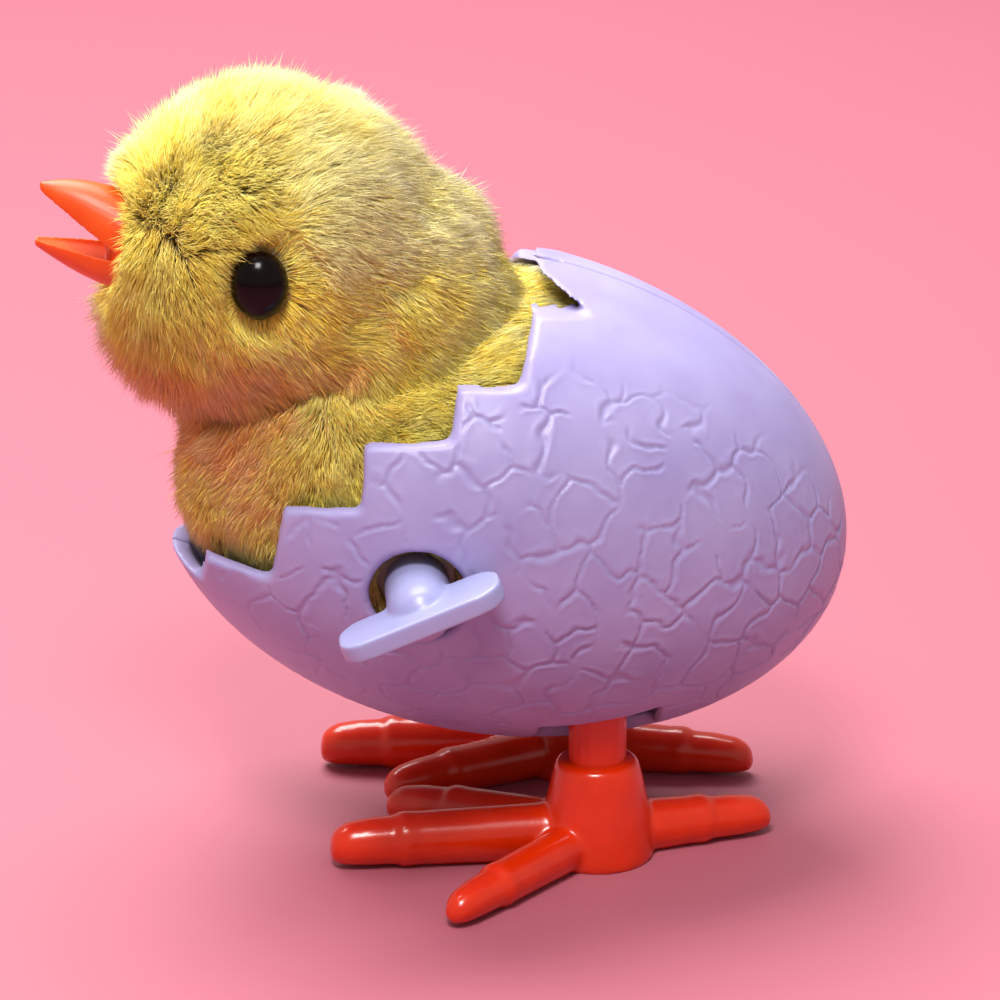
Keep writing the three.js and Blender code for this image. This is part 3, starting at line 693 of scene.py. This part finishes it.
kept = clear_of_hard_pieces(roots) & clear_of_hard_pieces(middles) & clear_of_hard_pieces(tips)
roots, middles, tips, lock_shade, normals = (a[kept] for a in (roots, middles, tips, lock_shade, normals))
count = len(roots)


def strand_shades(roots, lock_shade):
    """Each strand's colour family (pale, yellow or orange) and how dark a step of it the strand takes: its
    own uneven tone, with painted shade on the crown and painted light on the back of the head.
    """
    head = on_head(roots)
    low = 1 - smoothstep(roots[:, 2], HEAD[2] - 9.5, HEAD[2] - 3)
    front = 1 - smoothstep(roots[:, 0], -18, -6)
    chin = head * low * (0.3 + 0.6 * front)
    cheek = head * (1 - smoothstep(roots[:, 2], HEAD[2] - 7, HEAD[2] + 4)) * 0.35
    under_head = smoothstep(roots[:, 2], EGG_CENTRE[2] + 4.5, EGG_CENTRE[2] + 9)
    crease = (1 - head) * under_head * (1 - smoothstep(roots[:, 0], -24, -14)) * 0.6
    chest = (1 - head) * 0.28 * front
    orange = chin + cheek + crease + chest + 0.16 * waves(roots, 6, 91)
    orange += RNG.normal(0, 0.12, len(roots))
    behind = smoothstep(roots[:, 2], HEAD[2] - 2, HEAD[2] + 6) * smoothstep(roots[:, 0], -25, -15)
    pale = head * np.maximum(behind, smoothstep(roots[:, 2], HEAD[2] + 8, HEAD[2] + 12))
    pale += 0.25 * smoothstep(roots[:, 0], -16, -6) + 0.2 * waves(roots, 7, 93)
    pale += RNG.normal(0, 0.15, len(roots))
    # Painted light and shade: the crown (top) is painted darker against the strong light from above, and the
    # back of the head (behind) is painted lighter where the light only grazes it. The chest is also darker.
    # The waves, the locks and the random part are the pile's own uneven tone.
    top = head * smoothstep(roots[:, 2], HEAD[2] + 9, HEAD[2] + 13)
    shade = 1.1 + 1.3 * top - 0.7 * head * behind + 0.7 * chest
    shade += 0.45 * waves(roots, 5, 92) + 0.3 * lock_shade + RNG.normal(0, 0.4, len(roots))
    return np.where(orange > 0.5, 2, np.where(pale > 0.5, 0, 1)), shade


family, shade = strand_shades(roots, lock_shade)


def pile_piece(name, chosen):
    """A share of the strands as one mesh: each a tapered three-sided fibre, closed at both ends."""
    root, middle, tip = roots[chosen], middles[chosen], tips[chosen]
    number = len(chosen)
    rows = []
    for i in range(STRAND_STEPS):
        f = i / STRAND_STEPS
        rows.append(root * (1 - f) ** 2 + middle * 2 * f * (1 - f) + tip * f * f)
    along = unit(tip - root)
    side = unit(np.cross(along, normals[chosen] + 0.3 * RNG.normal(size=along.shape)))
    other = STRAND_FLATNESS * np.cross(side, along)
    points = np.empty((number, STRAND_STEPS * 3 + 1, 3))
    for i in range(STRAND_STEPS):
        radius = STRAND_RADIUS * STRAND_TAPER[i]
        for k in range(3):
            turn = (k * 2 / 3 - 0.5) * pi
            points[:, i * 3 + k] = rows[i] + radius * (cos(turn) * side + sin(turn) * other)
    points[:, -1] = tip
    faces = [(2, 1, 0)]
    levels = [0]
    for i in range(STRAND_STEPS - 1):
        for k in range(3):
            p, q = i * 3 + k, i * 3 + (k + 1) % 3
            faces += [(p, q, q + 3), (p, q + 3, p + 3)]
            levels += [i, i]
    last = (STRAND_STEPS - 1) * 3
    for k in range(3):
        faces.append((last + k, last + (k + 1) % 3, STRAND_STEPS * 3))
        levels.append(STRAND_STEPS - 1)
    faces, levels = np.array(faces), np.array(levels)
    per_strand = STRAND_STEPS * 3 + 1
    every_face = (faces[None] + (np.arange(number) * per_strand)[:, None, None]).reshape(-1, 3)
    # Painted shade deep in the pile: each strand's root segment takes a darker step. Painted light on the
    # tips: its tip segment takes a lighter step.
    tone = shade[chosen][:, None] + 0.3 * (levels[None, :] < 1) - 0.5 * (levels[None, :] > 1)
    tone = np.clip(np.round(tone), 0, len(PALES) - 1)
    tone = (tone + len(PALES) * family[chosen][:, None]).reshape(-1)
    mesh = bpy.data.meshes.new(name)
    mesh.vertices.add(number * per_strand)
    mesh.vertices.foreach_set("co", points.astype(np.float32).ravel())
    mesh.loops.add(len(every_face) * 3)
    mesh.loops.foreach_set("vertex_index", every_face.astype(np.int32).ravel())
    mesh.polygons.add(len(every_face))
    mesh.polygons.foreach_set("loop_start", np.arange(0, len(every_face) * 3, 3, dtype=np.int32))
    mesh.update(calc_edges=True)
    piece = finished(name, mesh, PILE, "chick", [])
    mesh.polygons.foreach_set("material_index", tone.astype(np.int32))
    mesh.update()
    return piece


order = np.argsort(roots[:, 2] + 4 * on_head(roots))
piece_count = int(np.ceil(count / PIECE_STRANDS))
for i, chosen in enumerate(np.array_split(order, piece_count)):
    pile_piece(f"plush_pile_{i + 1}", chosen)


# ---------- face ----------

BEAK_VOXEL = 0.1
EYE_RADII = (2.5, 2.1, 3.05)


def mandible(top, bottom, half_width, hollow_top):
    """A pointed scoop from the beak's root to its tip.

    top holds the heights over the beak's axis at root and tip, then the tip's x. bottom holds the heights.
    """
    steps, across = 14, 18
    rings = []
    for i in range(steps + 1):
        f = i / steps if i < steps else 0.985
        x = BEAK_ROOT_X + 1.2 - (BEAK_ROOT_X + 1.2 - top[2]) * f
        high = BEAK_Z + top[0] + (top[1] - top[0]) * f + 0.55 * sin(pi * f) * (0 if hollow_top else 1)
        low = BEAK_Z + bottom[0] + (bottom[1] - bottom[0]) * f - 0.45 * sin(pi * f) * (1 if hollow_top else 0)
        width = half_width * (1 - f) ** 0.75 + 0.25
        ring = []
        for k in range(across + 1):
            t = pi * k / across
            lift = sin(t) ** 0.85
            z = high - (high - low) * lift if hollow_top else low + (high - low) * lift
            ring.append((x, width * cos(t), z))
        for k in range(across - 1, 0, -1):
            t = pi * k / across
            dip = 0.32 * sin(t)
            z = high - (high - low) * dip if hollow_top else low + (high - low) * dip
            ring.append((x, width * cos(t) * 0.96, z))
        rings.append([np.array(p) for p in ring])
    return loft(rings)


beak_parts = [
    mandible((4.6, 5.6, -40.5), (-0.8, 4.9), 3.7, hollow_top=False),
    mandible((-1.0, 0.6, -41.1), (-4.6, -0.1), 3.3, hollow_top=True),
    ball((BEAK_ROOT_X + 1.6, 0, BEAK_Z), (2.2, 4.2, 4.4), 28),
]
beak_mesh = remeshed(mesh_of("beak_blank", *joined(beak_parts)), BEAK_VOXEL)
set_points(beak_mesh, evened(beak_mesh, 0.5, 5))
finished("beak_open", beak_mesh, BEAK, "chick", ["beak"])

for side_name, side in SIDES.items():
    centre = HEAD + EYE_OFFSET * (1, side, 1)
    bead_points, bead_faces = ball(centre, EYE_RADII, 48)
    finished(f"eye_bead_{side_name}", mesh_of("bead", bead_points, bead_faces), EYE, "chick",
             [f"eye_{side_name}"])


# ---------- winding key ----------

# The hub's y and radius, from its domed end to where it goes into the shell.
HUB_PROFILE = ((-26.75, 0.4), (-26.5, 1.4), (-25.8, 2.2), (-24.8, 2.65), (-23.6, 2.85), (-17.3, 2.9))
WING_HALF_LENGTH = 7.4
WING_OUTER_Y, WING_INNER_Y = -28.4, -22.7
WING_CORNER = 2.3
WING_THICKNESS = 1.8
KEY_VOXEL = 0.17


def wing_outline():
    """The wings' flat outline: a bar with round corners."""
    x, outer, inner = WING_HALF_LENGTH - WING_CORNER, WING_OUTER_Y + WING_CORNER, WING_INNER_Y - WING_CORNER
    outline = []
    for centre_x, centre_y, start in ((x, outer, -90), (x, inner, 0), (-x, inner, 90), (-x, outer, 180)):
        for step in range(9):
            a = radians(start + step * 90 / 8)
            outline.append((centre_x + WING_CORNER * cos(a), centre_y + WING_CORNER * sin(a)))
    return outline


def key_mesh():
    """A hub with a domed end and two flat wings, about its own axis, then turned."""
    turns = np.linspace(0, 2 * pi, 40, endpoint=False)
    hub = [[np.array((radius * cos(a), y, radius * sin(a))) for a in turns] for y, radius in HUB_PROFILE]
    wing = [[np.array((x, y, z)) for x, y in wing_outline()]
            for z in (-WING_THICKNESS / 2, WING_THICKNESS / 2)]
    mesh = remeshed(mesh_of("key_blank", *joined([loft(hub), loft(wing)])), KEY_VOXEL)
    points = evened(mesh, 0.55, 9)
    c, s = cos(KEY_ANGLE), sin(KEY_ANGLE)
    x, y, z = points.T
    set_points(mesh, np.stack([x * c - z * s, y, x * s + z * c], axis=1) + (KEY[0], 0, KEY[2]))
    return mesh


finished("key", key_mesh(), KEY_PLASTIC, "winder", ["winding_key"])


# ---------- feet ----------

FOOT_HEIGHT = 9.3
# Each toe: degrees outwards from straight ahead, reach from the heel's centre, radius at root and knuckle.
TOES = ((48, 21.2, 2.1, 2.0), (3.5, 24.2, 2.7, 2.45), (-25, 20.4, 2.4, 2.2), (193, 16.6, 2.6, 2.2))
NAIL = 6.4
FOOT_VOXEL = 0.22


def toe(side, turn, reach, root, knuckle):
    """A toe with a flat sole, a fold round the nail and a blunt nail that points a little down."""
    a = radians(turn)
    ahead = np.array((-cos(a), side * sin(a), 0.0))
    across = np.array((-ahead[1], ahead[0], 0.0))
    fold = reach - NAIL
    profile = [
        (0.0, root, 0.0), (fold * 0.45, (root + knuckle) / 2, 0.0), (fold - 1.4, knuckle, 0.0),
        (fold - 0.6, knuckle + 0.07, 0.0), (fold, knuckle + 0.05, 0.0), (fold + 0.35, knuckle - 0.12, 0.0),
        (fold + 0.55, knuckle - 0.24, -0.05), (fold + NAIL * 0.45, knuckle - 0.3, -0.1),
        (reach - 1.6, knuckle - 0.5, -0.2), (reach - 0.7, knuckle - 0.85, -0.35),
        (reach - 0.2, knuckle - 1.25, -0.55), (reach, 0.2, -0.8),
    ]
    rings = []
    for distance, radius, drop in profile:
        ring = []
        for k in range(28):
            t = k * 2 * pi / 28
            height = knuckle - 0.1 + drop + radius * sin(t)
            ring.append(np.array((LEG_X, side * LEG_Y, 0)) + ahead * distance + across * radius * cos(t)
                        + np.array((0, 0, max(height, 0.0))))
        rings.append(ring)
    return loft(rings)


def heel(side):
    """The boot-like block that the toes grow from, with a softened rim."""
    profile = ((0.0, 5.05), (0.35, 5.2), (1.2, 5.15), (4.5, 4.75), (7.4, 4.15),
               (FOOT_HEIGHT - 0.6, 3.8), (FOOT_HEIGHT - 0.15, 3.55), (FOOT_HEIGHT, 3.2))
    rings = [[np.array((LEG_X + r * cos(a), side * LEG_Y + r * sin(a), z))
              for a in np.linspace(0, 2 * pi, 48, endpoint=False)] for z, r in profile]
    return loft(rings)


for side_name, side in SIDES.items():
    foot_parts = [heel(side)] + [toe(side, *numbers) for numbers in TOES]
    foot_mesh = remeshed(mesh_of("foot_blank", *joined(foot_parts)), FOOT_VOXEL)
    foot_points = points_of(foot_mesh)
    on_ground = foot_points[:, 2] < 0.25
    foot_points = relaxed(foot_points, edges_of(foot_mesh), np.where(on_ground, 0.15, 0.5), 6)
    foot_points[foot_points[:, 2] < 0.12, 2] = 0.0
    set_points(foot_mesh, foot_points)
    finished(f"foot_shape_{side_name}", foot_mesh, FOOT, "legs", [f"foot_{side_name}"])


# ---------- floor, light and camera ----------

FLOOR_REACH = 3.0
floor_mesh = bpy.data.meshes.new("floor")
floor_corners = [(x * FLOOR_REACH, y * FLOOR_REACH, 0) for x, y in ((-1, -1), (1, -1), (1, 1), (-1, 1))]
floor_mesh.from_pydata(floor_corners, [], [(0, 1, 2, 3)])
floor = bpy.data.objects.new("floor", floor_mesh)
floor_mesh.materials.append(moulded("floor_pink", "b06070", "ae5e6e", 0.6, size=0.4, bump=0))
bpy.context.scene.collection.objects.link(floor)

world = bpy.data.worlds.new("soft_room")
bpy.context.scene.world = world
world.use_nodes = True
world.node_tree.nodes["Background"].inputs["Color"].default_value = (1.0, 0.96, 0.96, 1)
world.node_tree.nodes["Background"].inputs["Strength"].default_value = 0.4


def softbox(name, place, aim, size, power, colour):
    lamp = bpy.data.lights.new(name, "AREA")
    lamp.size = size
    lamp.energy = power
    lamp.color = colour
    holder = bpy.data.objects.new(name, lamp)
    holder.location = place
    holder.rotation_euler = (Vector(aim) - Vector(place)).to_track_quat("-Z", "Y").to_euler()
    bpy.context.scene.collection.objects.link(holder)


softbox("key_light", (-0.1, 0.22, 0.5), (0, 0.08, 0.02), 0.4, 6.0, (1, 0.98, 0.97))
softbox("front_light", (-0.06, -0.3, 0.5), (0, 0, 0.04), 0.16, 2.8, (1, 0.98, 0.96))

CAMERA_AZIMUTH, CAMERA_ELEVATION, CAMERA_DISTANCE = radians(-4), radians(20), 0.45
CAMERA_TARGET = np.array([-0.06, -0.34, 30.47])
target = Vector((CAMERA_TARGET + SHIFT) * MM)
back = Vector((sin(CAMERA_AZIMUTH) * cos(CAMERA_ELEVATION), -cos(CAMERA_AZIMUTH) * cos(CAMERA_ELEVATION),
               sin(CAMERA_ELEVATION)))
lens = bpy.data.cameras.new("camera")
lens.lens = 180
lens.sensor_width = 36
lens.clip_start = 0.01
lens.clip_end = 20
camera = bpy.data.objects.new("camera", lens)
camera.location = target + back * CAMERA_DISTANCE
camera.rotation_euler = (-back).to_track_quat("-Z", "Y").to_euler()
bpy.context.scene.collection.objects.link(camera)
bpy.context.scene.camera = camera
bpy.context.scene.view_settings.view_transform = "Standard"
